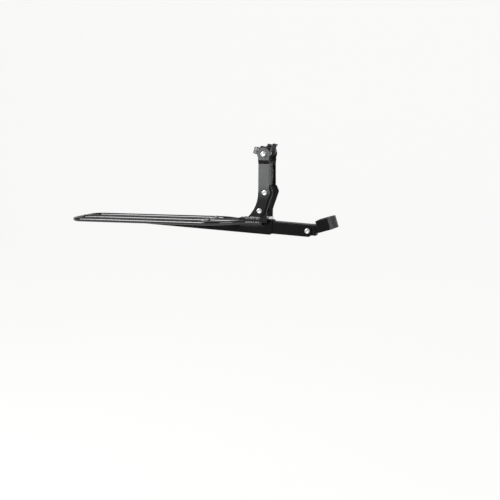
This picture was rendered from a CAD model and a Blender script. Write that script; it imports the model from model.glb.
"""Looks of a rear bicycle rack: paint, plated fasteners, weld beads, studio and camera."""
import math

import bmesh
import bpy
from bpy.props import FloatProperty, FloatVectorProperty, PointerProperty
from mathutils import Matrix, Vector, noise


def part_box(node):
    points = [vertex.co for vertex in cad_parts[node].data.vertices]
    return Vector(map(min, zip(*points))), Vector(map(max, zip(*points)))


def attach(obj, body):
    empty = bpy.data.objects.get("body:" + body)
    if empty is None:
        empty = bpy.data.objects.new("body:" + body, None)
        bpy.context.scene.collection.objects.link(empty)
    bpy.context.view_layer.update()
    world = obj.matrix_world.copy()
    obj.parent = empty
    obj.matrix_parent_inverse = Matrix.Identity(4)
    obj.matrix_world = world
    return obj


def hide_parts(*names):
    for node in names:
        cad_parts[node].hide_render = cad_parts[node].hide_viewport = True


bl_info = {
    "name": "Rear rack looks",
    "version": (1, 0, 0),
    "blender": (4, 5, 0),
    "location": "3D View > Sidebar > Rear Rack",
    "description": "Finishes, fasteners, weld beads and studio for a rear bicycle rack",
    "category": "Object",
}

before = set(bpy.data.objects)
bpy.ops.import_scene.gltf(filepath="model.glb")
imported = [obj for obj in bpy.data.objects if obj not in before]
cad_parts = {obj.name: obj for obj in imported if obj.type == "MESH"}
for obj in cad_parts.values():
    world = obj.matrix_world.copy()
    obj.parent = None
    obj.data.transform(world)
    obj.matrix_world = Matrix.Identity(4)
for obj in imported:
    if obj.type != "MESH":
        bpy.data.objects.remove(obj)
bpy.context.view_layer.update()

# Places of the bolts, as x and z in the frame, and angles of the pieces
UPPER_BOLT = (-0.1175, 0.0586)
LOWER_BOLT = (-0.1278, 0.0237)
HEAD_BOLT = (-0.1198, 0.1320)
TILT_BOLT = (-0.0370, -0.0138)
BEAM_SLOPE = math.radians(3.17)
RAIL_TILT = math.radians(12.0)
POST_LEAN = math.radians(17.0)

# Hex bolts and nuts, in metres: how far an end stands out of its nut, and the lock bolt on its boss
BOLT_D, BOLT_FLATS, BOLT_HEAD, BOLT_THREAD = 0.005, 0.008, 0.0035, 0.008
NUT_H, PAST_NUT = 0.0045, 0.001
LOCK_D, LOCK_FLATS, LOCK_HEAD, LOCK_LENGTH = 0.008, 0.013, 0.005, 0.0040
LOCK_THREAD, LOCK_PITCH, LOCK_SEAT = 0.003, 0.00125, 0.00075

# Socket screws: those of the post clamp along its axis, and the round ones of the rail clamps
SOCKET_FLATS = 0.004
CLAMP_HEAD_D, CLAMP_HEAD_H, CLAMP_KNURL = 0.0085, 0.005, 0.0002
CLAMP_SEAT, CLAMP_TIP, CLAMP_SIDE = -0.0120, 0.0120, 0.0186
KNOB_HEAD_D, KNOB_HEAD_H, KNOB_KNURL, KNOB_LENGTH = 0.013, 0.0065, 0.00025, 0.0072
KNOB_BACK, KNOB_UP, KNOB_SIDE = 0.016, 0.00315, 0.0195

# Distance behind the head bolt at which the paint of a hook ends
HOOK_PAINT_END = 0.0095

# Small shapes of the fasteners
TIP_CHAMFER = 0.0006
FACE_SHARE, CHAMFER = 0.96, math.radians(30)
DISH_RIM, DISH_EDGE, DISH_MIDDLE = 0.40, 0.36, 0.06
DISH_EDGE_DEPTH, DISH_MIDDLE_DEPTH = 0.0002, 0.00025
NUT_SINK, NUT_CLEAR = 0.0005, 0.0001
SOCKET_DEPTH, SOCKET_RIM, SOCKET_LIP = 0.6, 0.66, 0.0003
HEAD_ROUND, HEAD_SKIRT, HEAD_FOOT, HEAD_STEP, SCREW_NECK = 0.0009, 0.0010, 0.0006, 0.0004, 0.001
THREAD_STEPS, THREAD_DEPTH = 6, 0.45

# Weld beads: runs along x, distances in or out from a face, heights from the middle of the rods.
# Top and edge are those of the bridge, and stitches hold the centre rod to the beam.
FOOT_RUN, SEAM_RISE, BEAD_RISE = (-0.157, -0.127), 0.0068, 0.0104
SEAM_SIZE, BEAD_SIZE = 0.70, 1.10
LIP_RUN, LIP_IN, LIP_RISE, LIP_RADIUS, LIP_ROUGH = (-0.158, -0.126), 0.0012, 0.0008, 0.0027, 0.12
INNER_RUN, INNER_IN, INNER_RISE, INNER_SIZE = (-0.156, -0.128), 0.0030, (0.0048, 0.0050), 0.8
BEAM_RUN, BEAM_OUT, BEAM_DROP, BEAM_RADIUS, BEAM_SPREAD = (-0.172, -0.120), 0.0012, 0.0052, 0.0028, 1.6
TOP_RUN, TOP_SIDE, TOP_Z, TOP_RADIUS = (-0.121, -0.1150), 0.0232, 0.1116, 0.0016
EDGE_X, EDGE_SIDE, EDGE_Z, EDGE_RADIUS = -0.1146, (0.0229, 0.0226), (0.078, 0.105), 0.0012
STITCHES, STITCH_LENGTH = (-0.235, -0.285, -0.335, -0.380), 0.016
STITCH_SIDE, STITCH_DROP, STITCH_RADIUS = 0.0030, 0.0036, 0.0013
RING_SIZE, FRONT_RING_SIZE, RING_GAP, RING_IN = 0.0009, 0.0010, 0.0002, 0.0008
BOSS_RING, BOSS_RING_DROP = 0.0076, 0.0006

# Fineness of the meshes and of the rounded edges
ROUND = 48
FULL_TURN = 2 * math.pi
ANGLES = [FULL_TURN * i / ROUND for i in range(ROUND)]
BEAD_STEPS, BEAD_SIDES = 7, 14
RING_STEPS, RING_SIDES = 36, 10
BEAD_SMOOTH = 60.0
BEVEL_SAMPLES = 4

# Sockets of a Mix node for colours
MIX_FACTOR, MIX_UNDER, MIX_OVER, MIX_RESULT = 0, 6, 7, 2


# Properties

class RackPaint(bpy.types.PropertyGroup):
    """Colours and roughness of the painted steel"""
    black: FloatVectorProperty(
        name="Black paint", description="Colour of the deck, the beam, the hooks and the clamp block",
        subtype="COLOR", size=3, min=0.0, max=1.0, default=(0.0032, 0.0032, 0.0034))
    black_rough: FloatProperty(
        name="Black roughness", description="Roughness of the black paint on the beam and the clamp block",
        subtype="FACTOR", min=0.0, max=1.0, default=0.42)
    rod_rough: FloatProperty(
        name="Rod roughness", description="Roughness of the black paint on the deck rods",
        subtype="FACTOR", min=0.0, max=1.0, default=0.10)
    upright_low: FloatVectorProperty(
        name="Upright paint, foot", description="Colour of the uprights near the deck",
        subtype="COLOR", size=3, min=0.0, max=1.0, default=(0.0052, 0.0053, 0.0055))
    upright_high: FloatVectorProperty(
        name="Upright paint, head", description="Colour of the uprights above the upper bolts",
        subtype="COLOR", size=3, min=0.0, max=1.0, default=(0.091, 0.092, 0.094))
    bridge: FloatVectorProperty(
        name="Bridge paint", description="Colour of the plate between the uprights",
        subtype="COLOR", size=3, min=0.0, max=1.0, default=(0.120, 0.121, 0.123))
    weld: FloatVectorProperty(
        name="Weld paint", description="Colour of the paint over the weld beads of the uprights",
        subtype="COLOR", size=3, min=0.0, max=1.0, default=(0.030, 0.0302, 0.0310))
    edge: FloatVectorProperty(
        name="Rubbed edge", description="Colour of the paint where it is rubbed thin along edges",
        subtype="COLOR", size=3, min=0.0, max=1.0, default=(0.17, 0.172, 0.175))
    cap: FloatVectorProperty(
        name="Cap paint", description="Colour of the front half of the post clamp",
        subtype="COLOR", size=3, min=0.0, max=1.0, default=(0.036, 0.0365, 0.0375))


class RackMetal(bpy.types.PropertyGroup):
    """Colours of the bare metal and the plastic"""
    zinc: FloatVectorProperty(
        name="Zinc plating", description="Colour of bolts, nuts and washers",
        subtype="COLOR", size=3, min=0.0, max=1.0, default=(0.62, 0.63, 0.65))
    screw: FloatVectorProperty(
        name="Grey alloy",
        description="Colour of the round clamping screws and of the bare ends of the hooks",
        subtype="COLOR", size=3, min=0.0, max=1.0, default=(0.14, 0.14, 0.138))
    plug: FloatVectorProperty(
        name="Plug plastic", description="Colour of the plug in the extension tube",
        subtype="COLOR", size=3, min=0.0, max=1.0, default=(0.012, 0.012, 0.013))


class RackSizes(bpy.types.PropertyGroup):
    """Sizes of what is added to the solids"""
    bead_radius: FloatProperty(
        name="Weld bead radius", description="Radius that the weld beads at the feet are made from",
        subtype="DISTANCE", unit="LENGTH", min=0.0005, max=0.005, default=0.0026)
    bead_pitch: FloatProperty(
        name="Weld ripple", description="Distance between the ripples of a weld bead",
        subtype="DISTANCE", unit="LENGTH", min=0.0005, max=0.006, default=0.0034)
    thread_pitch: FloatProperty(
        name="Thread pitch", description="Pitch of the threads, apart from the lock bolt's",
        subtype="DISTANCE", unit="LENGTH", min=0.0005, max=0.002, default=0.0008)


class RackStudio(bpy.types.PropertyGroup):
    """Camera, floor and light"""
    lens: FloatProperty(
        name="Lens", description="Focal length for a 36 mm sensor", min=20.0, max=150.0, default=61.2)
    floor_drop: FloatProperty(
        name="Floor height", description="Height of the floor in the frame of the rack",
        subtype="DISTANCE", unit="LENGTH", min=-2.0, max=-0.05, default=-0.42)
    key_power: FloatProperty(
        name="Front light", description="Power of the soft light in front of the rack and above it",
        unit="POWER", min=0.0, max=500.0, default=22.0)
    rim_power: FloatProperty(
        name="Rim light", description="Power of the soft light beside the post clamp",
        unit="POWER", min=0.0, max=500.0, default=6.0)
    back_power: FloatProperty(
        name="Back light", description="Power of the soft light behind and above the rack",
        unit="POWER", min=0.0, max=500.0, default=4.0)


# Nodes

def feed(tree, socket, value):
    """Links a node's output to a socket, or sets the socket to a plain value"""
    if isinstance(value, bpy.types.NodeSocket):
        tree.links.new(value, socket)
    else:
        socket.default_value = value


def add(tree, kind, sockets=None, **settings):
    """A new node with its settings, and with what goes into its sockets"""
    node = tree.nodes.new(kind)
    for key, value in settings.items():
        setattr(node, key, value)
    for label, value in (sockets or {}).items():
        feed(tree, node.inputs[label], value)
    return node


def math_node(tree, operation, first, second):
    return add(tree, "ShaderNodeMath", {0: first, 1: second}, operation=operation).outputs[0]


def map_range(tree, value, start, end, low=0.0, high=1.0, shape="LINEAR"):
    """Maps a value so that start becomes low and end becomes high"""
    sockets = {"Value": value, "From Min": start, "From Max": end, "To Min": low, "To Max": high}
    return add(tree, "ShaderNodeMapRange", sockets, interpolation_type=shape).outputs[0]


def background_rays(tree, path, glossy):
    """1 for rays from the camera and through glass, and what is given for reflected ones"""
    reached = math_node(tree, "MAXIMUM", glossy, path.outputs["Is Transmission Ray"])
    return math_node(tree, "MAXIMUM", path.outputs["Is Camera Ray"], reached)


# Shader groups

def new_group(name, inputs, outputs):
    """A shader group whose inputs, with their defaults, and outputs are plain numbers"""
    group = bpy.data.node_groups.new(name, "ShaderNodeTree")
    for label, value in inputs.items():
        socket = group.interface.new_socket(label, in_out="INPUT", socket_type="NodeSocketFloat")
        socket.default_value = value
    for label in outputs:
        group.interface.new_socket(label, in_out="OUTPUT", socket_type="NodeSocketFloat")
    return group, group.nodes.new("NodeGroupInput"), group.nodes.new("NodeGroupOutput")


def powder_coat_group():
    """Fine orange peel, faint blotches and a few dull scuffs of powder-coated steel"""
    group, source, result = new_group(
        "powder_coat", {"Peel Scale": 900.0, "Scuff Amount": 0.5}, ("Peel", "Blotch", "Scuff"))
    place = add(group, "ShaderNodeTexCoord").outputs["Object"]
    peel = add(group, "ShaderNodeTexNoise",
               {"Vector": place, "Scale": source.outputs["Peel Scale"], "Detail": 3.0})
    blotch = add(group, "ShaderNodeTexNoise", {"Vector": place, "Scale": 38.0, "Detail": 4.0})
    stretch = add(group, "ShaderNodeMapping", {"Vector": place, "Scale": (1.0, 4.0, 4.0)})
    scratch = add(group, "ShaderNodeTexNoise",
                  {"Vector": stretch.outputs[0], "Scale": 130.0, "Detail": 6.0, "Roughness": 0.7})
    strongest = map_range(group, scratch.outputs["Fac"], 0.60, 0.74)
    scuff = math_node(group, "MULTIPLY", strongest, source.outputs["Scuff Amount"])
    group.links.new(peel.outputs["Fac"], result.inputs["Peel"])
    group.links.new(blotch.outputs["Fac"], result.inputs["Blotch"])
    group.links.new(scuff, result.inputs["Scuff"])
    return group


def plated_steel_group():
    """Fine turning marks and cloudy plating of small steel parts"""
    group, source, result = new_group(
        "plated_steel", {"Mark Scale": 2600.0, "Cloud Scale": 260.0}, ("Marks", "Cloud"))
    place = add(group, "ShaderNodeTexCoord").outputs["Object"]
    flat = add(group, "ShaderNodeMapping", {"Vector": place, "Scale": (1.0, 0.15, 1.0)})
    marks = add(group, "ShaderNodeTexNoise",
                {"Vector": flat.outputs[0], "Scale": source.outputs["Mark Scale"], "Detail": 2.0})
    cloud = add(group, "ShaderNodeTexNoise",
                {"Vector": place, "Scale": source.outputs["Cloud Scale"], "Detail": 3.0})
    group.links.new(marks.outputs["Fac"], result.inputs["Marks"])
    group.links.new(cloud.outputs["Fac"], result.inputs["Cloud"])
    return group


def edge_wear_group():
    """Where paint is rubbed thin: a broken line along sharp edges"""
    group, source, result = new_group("edge_wear", {"Edge Width": 0.0008, "Amount": 0.6}, ("Wear",))
    rounded = add(group, "ShaderNodeBevel", {"Radius": source.outputs["Edge Width"]}, samples=BEVEL_SAMPLES)
    surface = add(group, "ShaderNodeNewGeometry")
    bend = add(group, "ShaderNodeVectorMath", {0: rounded.outputs[0], 1: surface.outputs["Normal"]},
               operation="DOT_PRODUCT")
    near = map_range(group, bend.outputs["Value"], 0.985, 0.88)
    place = add(group, "ShaderNodeTexCoord").outputs["Object"]
    chips = add(group, "ShaderNodeTexNoise", {"Vector": place, "Scale": 160.0, "Detail": 4.0})
    broken = map_range(group, chips.outputs["Fac"], 0.35, 0.60)
    rubbed = math_node(group, "MULTIPLY", near, broken)
    group.links.new(math_node(group, "MULTIPLY", rubbed, source.outputs["Amount"]), result.inputs["Wear"])
    return group


def outer_face_group():
    """Where paint has faded: high up, on faces that look away from the rack's middle and not down"""
    group, source, result = new_group("outer_face", {"Rise From": 0.042, "Rise To": 0.076}, ("Faded",))
    place = add(group, "ShaderNodeTexCoord")
    point = add(group, "ShaderNodeSeparateXYZ", {0: place.outputs["Object"]})
    facing = add(group, "ShaderNodeSeparateXYZ", {0: place.outputs["Normal"]})
    side = math_node(group, "SIGN", point.outputs["Y"], 0.0)
    away = math_node(group, "MULTIPLY", side, facing.outputs["Y"])
    outer = map_range(group, away, 0.2, 0.7, shape="SMOOTHSTEP")
    level = map_range(group, facing.outputs["Z"], -0.30, -0.12, shape="SMOOTHSTEP")
    climb = map_range(group, point.outputs["Z"], source.outputs["Rise From"], source.outputs["Rise To"],
                      shape="SMOOTHSTEP")
    faded = math_node(group, "MULTIPLY", math_node(group, "MULTIPLY", outer, level), climb)
    group.links.new(faded, result.inputs["Faded"])
    return group


def bare_end_group():
    """Bare metal behind a given place along the rack, with a ragged border"""
    group, source, result = new_group("bare_end", {"Border": -0.130}, ("Bare",))
    place = add(group, "ShaderNodeTexCoord").outputs["Object"]
    point = add(group, "ShaderNodeSeparateXYZ", {0: place})
    ragged = add(group, "ShaderNodeTexNoise", {"Vector": place, "Scale": 700.0})
    shift = math_node(group, "MULTIPLY", ragged.outputs["Fac"], 0.0012)
    along = math_node(group, "ADD", point.outputs["X"], shift)
    gap = math_node(group, "SUBTRACT", source.outputs["Border"], along)
    group.links.new(map_range(group, gap, -0.0002, 0.0002), result.inputs["Bare"])
    return group


def placed(tree, maker, name):
    """A shared group, built once and placed in a material"""
    node = add(tree, "ShaderNodeGroup")
    node.node_tree = bpy.data.node_groups.get(name) or maker()
    return node


# Materials

def empty_material(name):
    material = bpy.data.materials.new(name)
    material.use_nodes = True
    tree = material.node_tree
    tree.nodes.clear()
    shader = tree.nodes.new("ShaderNodeBsdfPrincipled")
    output = tree.nodes.new("ShaderNodeOutputMaterial")
    tree.links.new(shader.outputs[0], output.inputs["Surface"])
    return material, tree, shader


def laid_over(tree, under, factor, colour):
    """Lays a colour over another one, or over a node's output, by a factor"""
    if not isinstance(under, bpy.types.NodeSocket):
        under = (*under, 1.0)
    sockets = {MIX_FACTOR: factor, MIX_UNDER: under, MIX_OVER: (*colour, 1.0)}
    return add(tree, "ShaderNodeMix", sockets, data_type="RGBA").outputs[MIX_RESULT]


def soft_edges(tree, height, strength, distance, radius=0.0):
    """Bump, over edges that the coat rounds a little where a radius is given"""
    bump = add(tree, "ShaderNodeBump", {"Height": height, "Strength": strength, "Distance": distance})
    if radius:
        edge = add(tree, "ShaderNodeBevel", {"Radius": radius}, samples=BEVEL_SAMPLES)
        tree.links.new(edge.outputs[0], bump.inputs["Normal"])
    return bump.outputs[0]


def painted(name, colour, rough, specular, scuff=0.5, high=None, peel=0.00006, edge=0.0007, bare=None):
    """Powder coat, faded to another colour high up, rubbed along edges or bare at one end where asked"""
    material, tree, shader = empty_material(name)
    coat = placed(tree, powder_coat_group, "powder_coat")
    coat.inputs["Scuff Amount"].default_value = scuff
    dull = tuple(min(1.0, 0.006 + 1.7 * c) for c in colour)
    base = laid_over(tree, colour, coat.outputs["Scuff"], dull)
    if high is not None:
        faded = placed(tree, outer_face_group, "outer_face")
        base = laid_over(tree, base, faded.outputs["Faded"], high)
    if edge:
        wear = placed(tree, edge_wear_group, "edge_wear")
        base = laid_over(tree, base, wear.outputs["Wear"], tuple(bpy.context.scene.rack_paint.edge))
    if bare is not None:
        end = placed(tree, bare_end_group, "bare_end")
        end.inputs["Border"].default_value = bare
        base = laid_over(tree, base, end.outputs["Bare"], tuple(bpy.context.scene.rack_metal.screw))
        tree.links.new(end.outputs["Bare"], shader.inputs["Metallic"])
    cloudy = map_range(tree, coat.outputs["Blotch"], 0.0, 1.0, rough - 0.05, rough + 0.06)
    uneven = math_node(tree, "ADD", cloudy, math_node(tree, "MULTIPLY", coat.outputs["Scuff"], 0.25))
    tree.links.new(uneven, shader.inputs["Roughness"])
    tree.links.new(base, shader.inputs["Base Color"])
    shader.inputs["Specular IOR Level"].default_value = specular
    tree.links.new(soft_edges(tree, coat.outputs["Peel"], 0.35, peel, edge), shader.inputs["Normal"])
    return material


def plated(name, colour, rough):
    """Plated or bare metal with faint clouds and turning marks"""
    material, tree, shader = empty_material(name)
    plate = placed(tree, plated_steel_group, "plated_steel")
    dim = tuple(0.82 * c for c in colour)
    tree.links.new(laid_over(tree, dim, plate.outputs["Cloud"], colour), shader.inputs["Base Color"])
    cloudy = map_range(tree, plate.outputs["Cloud"], 0.0, 1.0, rough - 0.06, rough + 0.10)
    tree.links.new(cloudy, shader.inputs["Roughness"])
    shader.inputs["Metallic"].default_value = 1.0
    marks = soft_edges(tree, plate.outputs["Marks"], 0.25, 0.00003, 0.0003)
    tree.links.new(marks, shader.inputs["Normal"])
    return material


def weld_paint(name, colour, specular):
    """Paint over a weld: light spots on a darker coat, uneven in gloss and height"""
    material, tree, shader = empty_material(name)
    coat = placed(tree, powder_coat_group, "powder_coat")
    coat.inputs["Peel Scale"].default_value = 300.0
    spots = map_range(tree, coat.outputs["Peel"], 0.42, 0.60)
    light = tuple(min(1.0, 6.0 * c) for c in colour)
    tree.links.new(laid_over(tree, colour, spots, light), shader.inputs["Base Color"])
    uneven = map_range(tree, coat.outputs["Blotch"], 0.0, 1.0, 0.14, 0.30)
    tree.links.new(uneven, shader.inputs["Roughness"])
    shader.inputs["Specular IOR Level"].default_value = specular
    tree.links.new(soft_edges(tree, coat.outputs["Peel"], 0.5, 0.0003), shader.inputs["Normal"])
    return material


def finish(key):
    """The named finish, made once"""
    found = bpy.data.materials.get("rack_" + key)
    if found:
        return found
    paint, metal = bpy.context.scene.rack_paint, bpy.context.scene.rack_metal
    black, low, high = tuple(paint.black), tuple(paint.upright_low), tuple(paint.upright_high)
    seam = tuple(0.12 * c for c in paint.weld)
    bare = HEAD_BOLT[0] - HOOK_PAINT_END
    makers = {
        "black": lambda n: painted(n, black, paint.black_rough, specular=0.08),
        "rod": lambda n: painted(n, black, paint.rod_rough, specular=0.62, scuff=0.08,
                                 peel=0.00001, edge=0.0),
        "bracket": lambda n: painted(n, low, rough=0.40, specular=0.14, scuff=0.4),
        "bridge": lambda n: painted(n, tuple(paint.bridge), rough=0.42, specular=0.25, scuff=0.4),
        "upright": lambda n: painted(n, low, rough=0.42, specular=0.15, scuff=0.4, high=high),
        "hook": lambda n: painted(n, black, rough=0.4, specular=0.3, scuff=0.4, bare=bare),
        "cap": lambda n: painted(n, tuple(paint.cap), rough=0.40, specular=0.35, scuff=0.4),
        "weld": lambda n: weld_paint(n, tuple(paint.weld), specular=0.9),
        "seam": lambda n: weld_paint(n, seam, specular=0.3),
        "zinc": lambda n: plated(n, tuple(metal.zinc), rough=0.26),
        "screw": lambda n: plated(n, tuple(metal.screw), rough=0.38),
        "plug": lambda n: painted(n, tuple(metal.plug), rough=0.55, specular=0.4, scuff=0.2, peel=0.0001),
    }
    return makers[key]("rack_" + key)


def dress(key, *nodes):
    """Gives CAD nodes a finish"""
    material = finish(key)
    for name in nodes:
        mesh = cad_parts[name].data
        mesh.materials.clear()
        mesh.materials.append(material)


# Meshes

def piece_from(name, bm, key, body):
    """A piece with its finish, riding on its body"""
    mesh = bpy.data.meshes.new(name)
    bmesh.ops.recalc_face_normals(bm, faces=bm.faces)
    bm.to_mesh(mesh)
    bm.free()
    piece = bpy.data.objects.new(name, mesh)
    bpy.context.scene.collection.objects.link(piece)
    mesh.materials.append(finish(key))
    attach(piece, body)
    return piece


def smooth_by_angle(piece, degrees=32.0):
    """Smooth shading, apart from edges that bend by more than an angle"""
    for face in piece.data.polygons:
        face.use_smooth = True
    limit = math.cos(math.radians(degrees))
    bm = bmesh.new()
    bm.from_mesh(piece.data)
    for edge in bm.edges:
        if len(edge.link_faces) == 2:
            a, b = edge.link_faces
            edge.smooth = a.normal.dot(b.normal) > limit
    bm.to_mesh(piece.data)
    bm.free()


def stack_rings(bm, rings, closed=True):
    """Skins a list of equally long rings of points, with both ends closed or open"""
    rows = [[bm.verts.new(p) for p in ring] for ring in rings]
    count = len(rows[0])
    for low, high in zip(rows, rows[1:]):
        for i in range(count):
            j = (i + 1) % count
            bm.faces.new((low[i], low[j], high[j], high[i]))
    if closed:
        bm.faces.new(list(reversed(rows[0])))
        bm.faces.new(rows[-1])
    return rows


def polar(radius, angle, z):
    return Vector((radius * math.cos(angle), radius * math.sin(angle), z))


def round_ring(radius, z):
    return [polar(radius, angle, z) for angle in ANGLES]


def hex_radius(angle, flats):
    """Radius of a hexagon at an angle"""
    step = math.pi / 3
    return flats / 2 / math.cos((angle + step / 2) % step - step / 2)


def hex_ring(flats, z):
    return [polar(hex_radius(angle, flats), angle, z) for angle in ANGLES]


def hex_rings(flats, z0, z1, chamfered_foot):
    """Rings of a hexagon between two heights, with the usual chamfer on top and, if asked, below"""
    face = flats / 2 * FACE_SHARE
    slope = math.tan(CHAMFER)

    def chamfer_ring(z, sign):
        radii = [hex_radius(angle, flats) for angle in ANGLES]
        return [polar(r, angle, z + sign * ((r - face) * slope)) for r, angle in zip(radii, ANGLES)]

    foot = [round_ring(face, z0), chamfer_ring(z0, 1)] if chamfered_foot else [hex_ring(flats, z0)]
    return foot + [chamfer_ring(z1, -1), round_ring(face, z1)]


def thread_rings(diameter, z_from, z_to, pitch):
    """Rings of a right-hand thread from one height to another, fading out at both ends"""
    rings = []
    steps = max(4, int(round(abs(z_to - z_from) / pitch * THREAD_STEPS)))
    for k in range(steps + 1):
        z = z_from + (z_to - z_from) * k / steps
        fade = min(1.0, k / THREAD_STEPS, (steps - k) / THREAD_STEPS)
        ring = []
        for i, angle in enumerate(ANGLES):
            phase = (z / pitch - i / ROUND) % 1.0
            depth = THREAD_DEPTH * pitch * abs(2 * phase - 1) * fade
            ring.append(polar(diameter / 2 - depth, angle, z))
        rings.append(ring)
    return rings


def hex_bolt_mesh(flats, head_height, diameter, length, pitch, thread):
    """Bolt along +Z: its head stands on z = 0 and its shank runs down to z = -length"""
    bm = bmesh.new()
    head = hex_rings(flats, 0.0, head_height, False)
    dish = [round_ring(flats * DISH_RIM, head_height),
            round_ring(flats * DISH_EDGE, head_height - DISH_EDGE_DEPTH),
            round_ring(flats * DISH_MIDDLE, head_height - DISH_MIDDLE_DEPTH)]
    stack_rings(bm, head + dish)
    shank = [round_ring(diameter / 2, 0.0), round_ring(diameter / 2, -length + thread)]
    worm = thread_rings(diameter, -length + thread, -length + TIP_CHAMFER, pitch)
    tip = [round_ring(diameter / 2 - TIP_CHAMFER, -length)]
    stack_rings(bm, shank + worm[1:] + tip)
    return bm


def nut_mesh(flats, height, diameter):
    """Nut along +Z, standing on z = 0"""
    bm = bmesh.new()
    outer = hex_rings(flats, 0.0, height, True)
    wide, narrow = diameter / 2 + NUT_SINK, diameter / 2 + NUT_CLEAR
    inner = [round_ring(wide, height), round_ring(narrow, height - NUT_SINK),
             round_ring(narrow, NUT_SINK), round_ring(wide, 0.0)]
    rows = stack_rings(bm, outer + inner, closed=False)
    for i in range(ROUND):
        j = (i + 1) % ROUND
        bm.faces.new((rows[-1][i], rows[-1][j], rows[0][j], rows[0][i]))
    return bm


def socket_screw_mesh(head_d, head_h, diameter, length, pitch, knurl):
    """Screw along +Z: its round head lies under z = 0 and its shank runs up to z = length"""
    bm = bmesh.new()
    radius = head_d / 2

    def ribbed(z):
        return [polar(radius - (knurl if i % 2 else 0.0), angle, z) for i, angle in enumerate(ANGLES)]

    socket = [hex_ring(SOCKET_FLATS, -head_h + SOCKET_DEPTH * head_h),
              hex_ring(SOCKET_FLATS, -head_h + SOCKET_LIP), round_ring(SOCKET_FLATS * SOCKET_RIM, -head_h)]
    head = [round_ring(radius - HEAD_ROUND, -head_h), ribbed(-head_h + HEAD_ROUND), ribbed(-HEAD_SKIRT),
            round_ring(radius - HEAD_STEP, -HEAD_FOOT), round_ring(radius - HEAD_FOOT, 0.0)]
    neck = [round_ring(diameter / 2, 0.0), round_ring(diameter / 2, SCREW_NECK)]
    worm = thread_rings(diameter, SCREW_NECK, length - TIP_CHAMFER, pitch)
    tip = [round_ring(diameter / 2 - TIP_CHAMFER, length)]
    stack_rings(bm, socket + head + neck + worm[1:] + tip)
    return bm


def turned_to(bm, axis, place):
    """Turns a mesh's +Z to an axis and moves it to its place"""
    turn = Vector((0, 0, 1)).rotation_difference(Vector(axis).normalized()).to_matrix().to_4x4()
    bm.transform(Matrix.Translation(Vector(place)) @ turn)
    return bm


def joined(meshes):
    out = bmesh.new()
    for bm in meshes:
        scratch = bpy.data.meshes.new("scratch")
        bm.to_mesh(scratch)
        bm.free()
        out.from_mesh(scratch)
        bpy.data.meshes.remove(scratch)
    return out


def weld_bead(start, stop, radius, pitch, normal, seed, rough=1.0):
    """Rippled bead between two points, flattened against the surface whose normal is given"""
    bm = bmesh.new()
    start, stop = Vector(start), Vector(stop)
    total = (stop - start).length
    along = (stop - start).normalized()
    up = Vector(normal).normalized()
    side = along.cross(up).normalized()
    steps = max(10, int(total / pitch * BEAD_STEPS))
    rings = []
    for k in range(steps + 1):
        s = total * k / steps
        beat = s / pitch + 0.25 * noise.noise((seed, s * 300, 0))
        ripple = 1.0 - 0.42 * rough * abs(2.0 * (beat % 1.0) - 1.0) ** 1.5
        wander = 1.0 + 0.22 * rough * noise.noise((s * 160, seed, 3.0))
        end = min(1.0, math.sqrt(max(0.0, min(s, total - s)) / (0.8 * radius)) + 0.12)
        size = radius * ripple * wander * end
        drift = side * (0.18 * rough * radius * noise.noise((s * 190, 2.0, seed)))
        centre = start + along * s + drift
        ring = []
        for j in range(BEAD_SIDES):
            angle = FULL_TURN * j / BEAD_SIDES
            bow = along * (0.35 * pitch * math.cos(angle) * end)
            across = side * (size * math.cos(angle))
            ring.append(centre + bow + across + up * (0.72 * size * math.sin(angle)))
        rings.append(ring)
    stack_rings(bm, rings)
    return bm


def weld_ring(centre, axis, radius, thickness, pitch, seed):
    """Rippled bead round a rod"""
    centre, axis = Vector(centre), Vector(axis).normalized()
    first = axis.orthogonal().normalized()
    second = axis.cross(first)
    turns = [FULL_TURN * j / RING_SIDES for j in range(RING_SIDES)]
    bm = bmesh.new()
    rings = []
    for k in range(RING_STEPS + 1):
        angle = FULL_TURN * k / RING_STEPS
        point = centre + (first * math.cos(angle) + second * math.sin(angle)) * radius
        outward = (point - centre).normalized()
        s = k * FULL_TURN * radius / RING_STEPS
        ripple = 1.0 - 0.18 * ((s / pitch) % 1.0)
        size = thickness * ripple * (1.0 + 0.15 * noise.noise((seed, s * 200, 1.0)))
        rings.append([point + outward * (size * math.cos(turn)) + axis * (size * math.sin(turn))
                      for turn in turns])
    stack_rings(bm, rings, closed=False)
    return bm


# Operators

class RACK_OT_paint_frame(bpy.types.Operator):
    """Paint the deck, the beam, the uprights and the clamps"""
    bl_idname = "rack.paint_frame"
    bl_label = "Paint the frame"

    def execute(self, context):
        dress("rod", "platform_loop", "centre_rod", "cross_rods")
        dress("black", "main_beam", "lock_boss", "extension_tube", "hinge_tongue", "clamp_block")
        dress("hook", "rail_hook_right", "rail_hook_left")
        dress("upright", "upright_arm_right", "upright_arm_left")
        dress("bracket", "foot_bracket_right", "foot_bracket_left")
        dress("bridge", "arm_bridge")
        dress("cap", "clamp_cap")
        dress("plug", "tube_plug")
        dress("zinc", "upright_washers", "head_washers", "tilt_washers")
        return {"FINISHED"}


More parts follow.
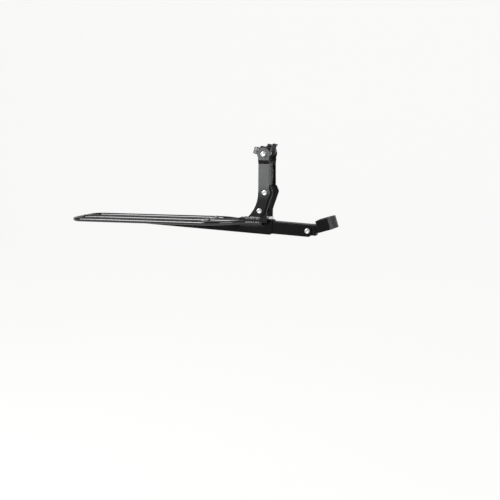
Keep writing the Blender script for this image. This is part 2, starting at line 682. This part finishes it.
class RACK_OT_hex_bolts(bpy.types.Operator):
    """Make the hex bolts with chamfered heads and threaded ends"""
    bl_idname = "rack.hex_bolts"
    bl_label = "Hex bolts"

    def execute(self, context):
        pitch = context.scene.rack_sizes.thread_pitch

        def bolt_mesh(seat, end):
            return hex_bolt_mesh(BOLT_FLATS, BOLT_HEAD, BOLT_D, abs(seat - end), pitch, BOLT_THREAD)

        def pairs(node, places, nuts):
            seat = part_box(node)[1].y - BOLT_HEAD
            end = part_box(nuts)[1].y - NUT_H - PAST_NUT
            meshes = [turned_to(bolt_mesh(seat, end), (0, side, 0), (x, side * seat, z))
                      for side in (-1, 1) for x, z in places]
            piece = piece_from(node + "_detailed", joined(meshes), "zinc", "rack")
            smooth_by_angle(piece)
            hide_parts(node)

        pairs("upright_bolts", (UPPER_BOLT, LOWER_BOLT), "upright_nuts")
        pairs("head_bolts", (HEAD_BOLT,), "head_nuts")

        low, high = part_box("tilt_bolt")
        seat = low.y + BOLT_HEAD
        mesh = turned_to(bolt_mesh(seat, high.y), (0, -1, 0), (TILT_BOLT[0], seat, TILT_BOLT[1]))
        bolt = piece_from("tilt_bolt_detailed", mesh, "zinc", "extension")
        smooth_by_angle(bolt)
        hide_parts("tilt_bolt")

        axis = Vector((math.sin(BEAM_SLOPE), 0, math.cos(BEAM_SLOPE)))
        low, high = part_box("lock_boss")
        top = (low + high) / 2 + axis * LOCK_SEAT
        mesh = hex_bolt_mesh(LOCK_FLATS, LOCK_HEAD, LOCK_D, LOCK_LENGTH, LOCK_PITCH, LOCK_THREAD)
        lock = piece_from("lock_bolt_detailed", turned_to(mesh, axis, top), "zinc", "lock")
        smooth_by_angle(lock)
        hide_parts("lock_bolt")
        return {"FINISHED"}


class RACK_OT_nuts(bpy.types.Operator):
    """Make the chamfered nuts on the ends of the bolts"""
    bl_idname = "rack.nuts"
    bl_label = "Nuts"

    def execute(self, context):
        def nut(axis, place):
            return turned_to(nut_mesh(BOLT_FLATS, NUT_H, BOLT_D), axis, place)

        def pairs(node, places):
            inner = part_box(node)[1].y - NUT_H
            meshes = [nut((0, side, 0), (x, side * inner, z)) for side in (-1, 1) for x, z in places]
            piece = piece_from(node + "_detailed", joined(meshes), "zinc", "rack")
            smooth_by_angle(piece)
            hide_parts(node)

        pairs("upright_nuts", (UPPER_BOLT, LOWER_BOLT))
        pairs("head_nuts", (HEAD_BOLT,))
        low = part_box("tilt_nut")[0].y
        mesh = nut((0, 1, 0), (TILT_BOLT[0], low, TILT_BOLT[1]))
        tilt = piece_from("tilt_nut_detailed", mesh, "zinc", "extension")
        smooth_by_angle(tilt)
        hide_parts("tilt_nut")
        return {"FINISHED"}


class RACK_OT_socket_screws(bpy.types.Operator):
    """Make the socket screws of the post clamp and the round clamping screws of the rail clamps"""
    bl_idname = "rack.socket_screws"
    bl_label = "Socket screws"

    def execute(self, context):
        pitch = context.scene.rack_sizes.thread_pitch

        def clamp_screw(axis, place):
            length = CLAMP_TIP - CLAMP_SEAT
            mesh = socket_screw_mesh(CLAMP_HEAD_D, CLAMP_HEAD_H, BOLT_D, length, pitch, CLAMP_KNURL)
            return turned_to(mesh, axis, place)

        forward = Vector((math.cos(POST_LEAN), 0, math.sin(POST_LEAN)))
        meshes = [clamp_screw(forward, forward * CLAMP_SEAT + Vector((0, y, 0)))
                  for y in (-CLAMP_SIDE, CLAMP_SIDE)]
        screws = piece_from("clamp_screws_detailed", joined(meshes), "zinc", "post_clamp")
        smooth_by_angle(screws)
        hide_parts("clamp_screws")

        along = Vector((math.cos(RAIL_TILT), 0, -math.sin(RAIL_TILT)))
        up = Vector((math.sin(RAIL_TILT), 0, math.cos(RAIL_TILT)))
        head = Vector((HEAD_BOLT[0], 0, HEAD_BOLT[1]))
        for name, sign in (("right", -1), ("left", 1)):
            place = head - along * KNOB_BACK + up * KNOB_UP + Vector((0, sign * KNOB_SIDE, 0))
            mesh = socket_screw_mesh(KNOB_HEAD_D, KNOB_HEAD_H, BOLT_D, KNOB_LENGTH, pitch, KNOB_KNURL)
            knob = piece_from("rail_screw_%s_detailed" % name, turned_to(mesh, up, place),
                              "screw", "clamp_knob_" + name)
            smooth_by_angle(knob)
            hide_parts("rail_screw_" + name)
        return {"FINISHED"}


class RACK_OT_weld_beads(bpy.types.Operator):
    """Lay the weld beads at the feet, the rods, the bridge, the beam and the lock boss"""
    bl_idname = "rack.weld_beads"
    bl_label = "Weld beads"

    def execute(self, context):
        sizes = context.scene.rack_sizes
        r, pitch = sizes.bead_radius, sizes.bead_pitch
        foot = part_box("foot_bracket_left")[1].y
        rod_low, rod_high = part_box("centre_rod")
        mid_z = (rod_low.z + rod_high.z) / 2
        rod_r = (rod_high.z - rod_low.z) / 2
        cross_low, cross_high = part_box("cross_rods")
        cross_x = (cross_low.x + cross_high.x) / 2
        beam_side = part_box("main_beam")[1].y
        beads, seams, lips = [], [], []

        def level_bead(run, y, z, *rest):
            return weld_bead((run[0], y, z), (run[1], y, z), *rest)

        def ring(centre, axis, *rest):
            seams.append(weld_ring(centre, axis, *rest))

        for sign in (-1, 1):
            out = (0, sign, 0)
            for pieces, rise, size in ((seams, SEAM_RISE, SEAM_SIZE), (beads, BEAD_RISE, BEAD_SIZE)):
                pieces.append(level_bead(FOOT_RUN, sign * foot, mid_z + rise, size * r, pitch, out,
                                         1.0 + sign + rise))
            lips.append(level_bead(LIP_RUN, sign * (foot - LIP_IN), mid_z + LIP_RISE, LIP_RADIUS, pitch, out,
                                   2.0 + sign, LIP_ROUGH))
            inner = sign * (foot - INNER_IN)
            beads.append(weld_bead((INNER_RUN[0], inner, mid_z + INNER_RISE[0]),
                                   (INNER_RUN[1], inner, mid_z + INNER_RISE[1]),
                                   INNER_SIZE * r, pitch, (0, -sign, 0), 3.0 + sign))
            seams.append(level_bead(BEAM_RUN, sign * (beam_side + BEAM_OUT), mid_z - BEAM_DROP, BEAM_RADIUS,
                                    BEAM_SPREAD * pitch, out, 5.0 + sign))
            beads.append(level_bead(TOP_RUN, sign * TOP_SIDE, TOP_Z, TOP_RADIUS, pitch, (0, 0, 1),
                                    7.0 + sign))
            beads.append(weld_bead((EDGE_X, sign * EDGE_SIDE[0], EDGE_Z[0]),
                                   (EDGE_X, sign * EDGE_SIDE[1], EDGE_Z[1]),
                                   EDGE_RADIUS, pitch, (1, 0, 0), 9.0 + sign))
            for x in STITCHES:
                seams.append(level_bead((x - STITCH_LENGTH, x), sign * STITCH_SIDE, mid_z - STITCH_DROP,
                                        STITCH_RADIUS, pitch, out, x * 100 + sign))
            for y in (rod_r + RING_GAP, cross_high.y - RING_IN):
                ring((cross_x, sign * y, mid_z), (0, 1, 0), rod_r, RING_SIZE, pitch, 11.0 + sign + y)
        ring((rod_low.x + RING_IN, 0, mid_z), (1, 0, 0), rod_r, RING_SIZE, pitch, 17.0)
        ring((rod_high.x, 0, mid_z), (1, 0, 0), rod_r, FRONT_RING_SIZE, pitch, 19.0)
        low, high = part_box("lock_boss")
        axis = Vector((math.sin(BEAM_SLOPE), 0, math.cos(BEAM_SLOPE)))
        ring((low + high) / 2 - axis * BOSS_RING_DROP, axis, BOSS_RING, RING_SIZE, pitch, 23.0)
        for name, meshes, key, slot in (("upright_welds", beads, "weld", "upright_paint"),
                                        ("deck_welds", seams, "seam", "black_paint"),
                                        ("foot_welds", lips, "rod", "black_paint")):
            smooth_by_angle(piece_from(name, joined(meshes), key, "rack"), BEAD_SMOOTH)
        return {"FINISHED"}


class RACK_OT_stage(bpy.types.Operator):
    """Set up the floor, the lights, the world and the camera"""
    bl_idname = "rack.stage"
    bl_label = "Stage"

    def execute(self, context):
        scene, studio = context.scene, context.scene.rack_studio
        self.floor(scene, studio)
        self.world(scene)
        self.lamp(scene, "front_light", studio.key_power, size=(0.62, 0.75),
                  place=(-0.74, -0.90, 0.62), target=(-0.28, 0.0, 0.0))
        self.lamp(scene, "rim_light", studio.rim_power, size=(0.5, 0.9),
                  place=(1.0, -0.75, 0.45), target=(-0.05, 0.0, 0.0))
        self.lamp(scene, "back_light", studio.back_power, size=(1.4, 0.4),
                  place=(-0.1, 0.9, 1.2), target=(-0.2, 0.0, 0.0))
        self.camera(scene, studio)
        scene.view_settings.view_transform = "Standard"
        return {"FINISHED"}

    def floor(self, scene, studio):
        """A floor that bends up into a wall behind the rack"""
        bm = bmesh.new()
        z, reach, depth, bend, wall, steps = studio.floor_drop, 9.0, 2.4, 0.8, 3.0, 12
        profile = [(-reach, z), (depth, z)]
        for k in range(1, steps + 1):
            angle = math.pi / 2 * k / steps
            profile.append((depth + bend * math.sin(angle), z + bend * (1 - math.cos(angle))))
        profile.append((depth + bend, z + wall))
        rows = [[bm.verts.new((x, y, h)) for y, h in profile] for x in (-reach, reach)]
        for i in range(len(profile) - 1):
            bm.faces.new((rows[0][i], rows[1][i], rows[1][i + 1], rows[0][i + 1])).smooth = True
        mesh = bpy.data.meshes.new("studio_floor")
        bm.to_mesh(mesh)
        bm.free()
        floor = bpy.data.objects.new("studio_floor", mesh)
        scene.collection.objects.link(floor)
        material, tree, shader = empty_material("studio_sweep")
        shader.inputs["Base Color"].default_value = (0.90, 0.90, 0.895, 1.0)
        shader.inputs["Roughness"].default_value = 0.85
        shader.inputs["Specular IOR Level"].default_value = 0.1
        path = add(tree, "ShaderNodeLightPath")
        seen = background_rays(tree, path, path.outputs["Is Glossy Ray"])
        glow = add(tree, "ShaderNodeEmission", {"Color": (1.0, 1.0, 0.995, 1.0)})
        share = math_node(tree, "MULTIPLY", seen, 0.93)
        mix = add(tree, "ShaderNodeMixShader", {0: share, 1: shader.outputs[0], 2: glow.outputs[0]})
        output = next(n for n in tree.nodes if n.type == "OUTPUT_MATERIAL")
        tree.links.new(mix.outputs[0], output.inputs["Surface"])
        mesh.materials.append(material)

    def world(self, scene):
        """A pale room; reflections show its wall, and a dark ceiling above that"""
        world = bpy.data.worlds.new("studio_world")
        scene.world = world
        world.use_nodes = True
        tree = world.node_tree
        tree.nodes.clear()
        path = add(tree, "ShaderNodeLightPath")
        place = add(tree, "ShaderNodeTexCoord")
        height = add(tree, "ShaderNodeSeparateXYZ", {0: place.outputs["Generated"]})
        wall = map_range(tree, height.outputs["Z"], 0.30, 0.55, 1.0, 0.06)
        glossy = math_node(tree, "MULTIPLY", path.outputs["Is Glossy Ray"], wall)
        strength = map_range(tree, background_rays(tree, path, glossy), 0.0, 1.0, 0.10, 1.0)
        back = add(tree, "ShaderNodeBackground", {"Color": (0.948, 0.948, 0.944, 1.0), "Strength": strength})
        output = add(tree, "ShaderNodeOutputWorld")
        tree.links.new(back.outputs[0], output.inputs["Surface"])

    def lamp(self, scene, name, power, size, place, target):
        data = bpy.data.lights.new(name, "AREA")
        data.shape = "RECTANGLE"
        data.size, data.size_y = size
        data.energy = power
        lamp = bpy.data.objects.new(name, data)
        lamp.location = place
        lamp.rotation_euler = (Vector(target) - Vector(place)).to_track_quat("-Z", "Y").to_euler()
        scene.collection.objects.link(lamp)

    def camera(self, scene, studio):
        data = bpy.data.cameras.new("photo_camera")
        data.sensor_fit = "HORIZONTAL"
        data.sensor_width = 36.0
        data.lens = studio.lens
        data.clip_start, data.clip_end = 0.05, 50.0
        camera = bpy.data.objects.new("photo_camera", data)
        place, target = Vector((0.3038, -1.5943, 0.1728)), Vector((-0.1545, 0.0, -0.0568))
        camera.location = place
        camera.rotation_euler = (target - place).to_track_quat("-Z", "Y").to_euler()
        scene.collection.objects.link(camera)
        scene.camera = camera


class RACK_PT_panel(bpy.types.Panel):
    """Sidebar panel of the rear rack"""
    bl_idname = "RACK_PT_panel"
    bl_label = "Rear Rack"
    bl_space_type = "VIEW_3D"
    bl_region_type = "UI"
    bl_category = "Rear Rack"

    def draw(self, context):
        for group in GROUPS:
            settings = getattr(context.scene, group)
            box = self.layout.box()
            for name in settings.__annotations__:
                box.prop(settings, name)
        for operator in OPERATORS:
            self.layout.operator(operator.bl_idname)


GROUPS = {
    "rack_paint": RackPaint,
    "rack_metal": RackMetal,
    "rack_sizes": RackSizes,
    "rack_studio": RackStudio,
}
OPERATORS = (RACK_OT_paint_frame, RACK_OT_hex_bolts, RACK_OT_nuts, RACK_OT_socket_screws, RACK_OT_weld_beads,
             RACK_OT_stage)


def register():
    for cls in (*GROUPS.values(), *OPERATORS, RACK_PT_panel):
        bpy.utils.register_class(cls)
    for name, cls in GROUPS.items():
        setattr(bpy.types.Scene, name, PointerProperty(type=cls))


def unregister():
    for name in GROUPS:
        delattr(bpy.types.Scene, name)
    for cls in reversed((*GROUPS.values(), *OPERATORS, RACK_PT_panel)):
        bpy.utils.unregister_class(cls)


def main():
    register()
    bpy.ops.rack.paint_frame()
    bpy.ops.rack.hex_bolts()
    bpy.ops.rack.nuts()
    bpy.ops.rack.socket_screws()
    bpy.ops.rack.weld_beads()
    bpy.ops.rack.stage()


if __name__ == "__main__":
    main()
